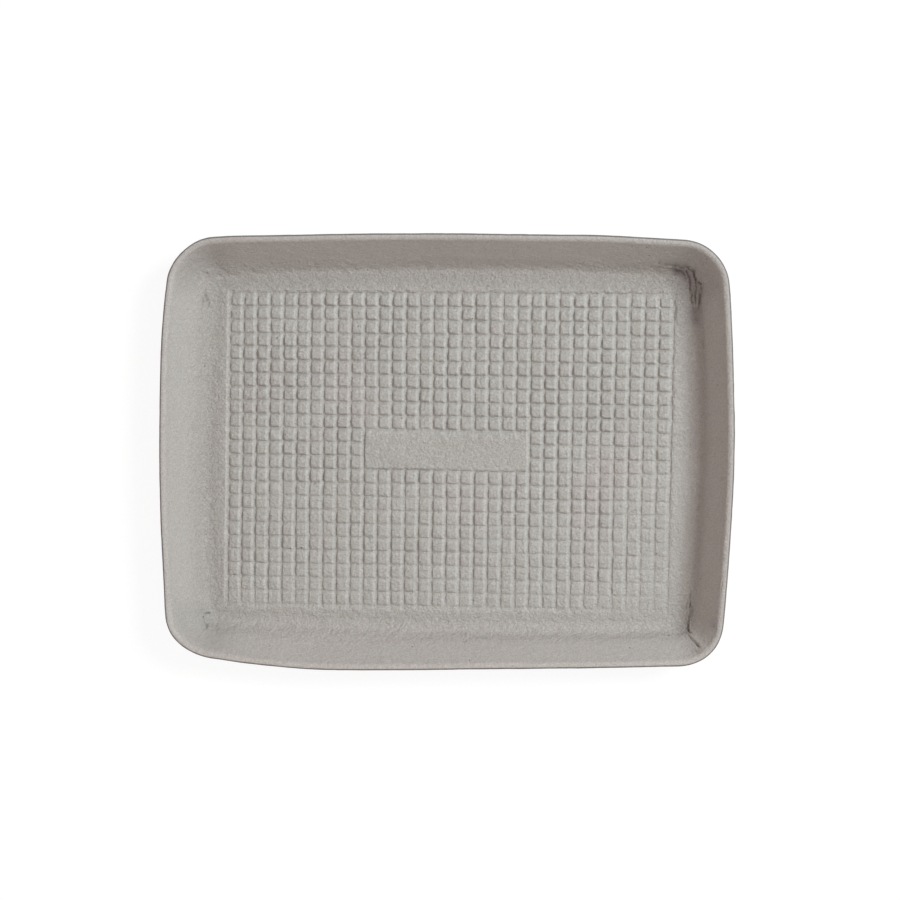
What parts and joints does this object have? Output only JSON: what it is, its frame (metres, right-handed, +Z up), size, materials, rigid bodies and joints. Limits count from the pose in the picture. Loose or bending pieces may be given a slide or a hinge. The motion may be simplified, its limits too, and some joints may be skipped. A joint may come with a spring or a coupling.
{
  "type": "food tray",
  "caption": "Shallow rectangular moulded fibre tray with a flat lip, sloping sides, rounded corners and a waffle-grooved floor round a plain panel; carries portions of food.",
  "frame": {"origin": "middle of the flat underside, on the surface the tray rests on", "axes": "+X along the long sides, +Y along the short sides, +Z up out of the open mouth"},
  "size_m": [0.3048, 0.231, 0.0254],
  "materials": {
    "fibre": "matt, fibrous, uncoated"
  },
  "bodies": {
    "root": {"tray": "fibre"}
  },
  "joints": []
}
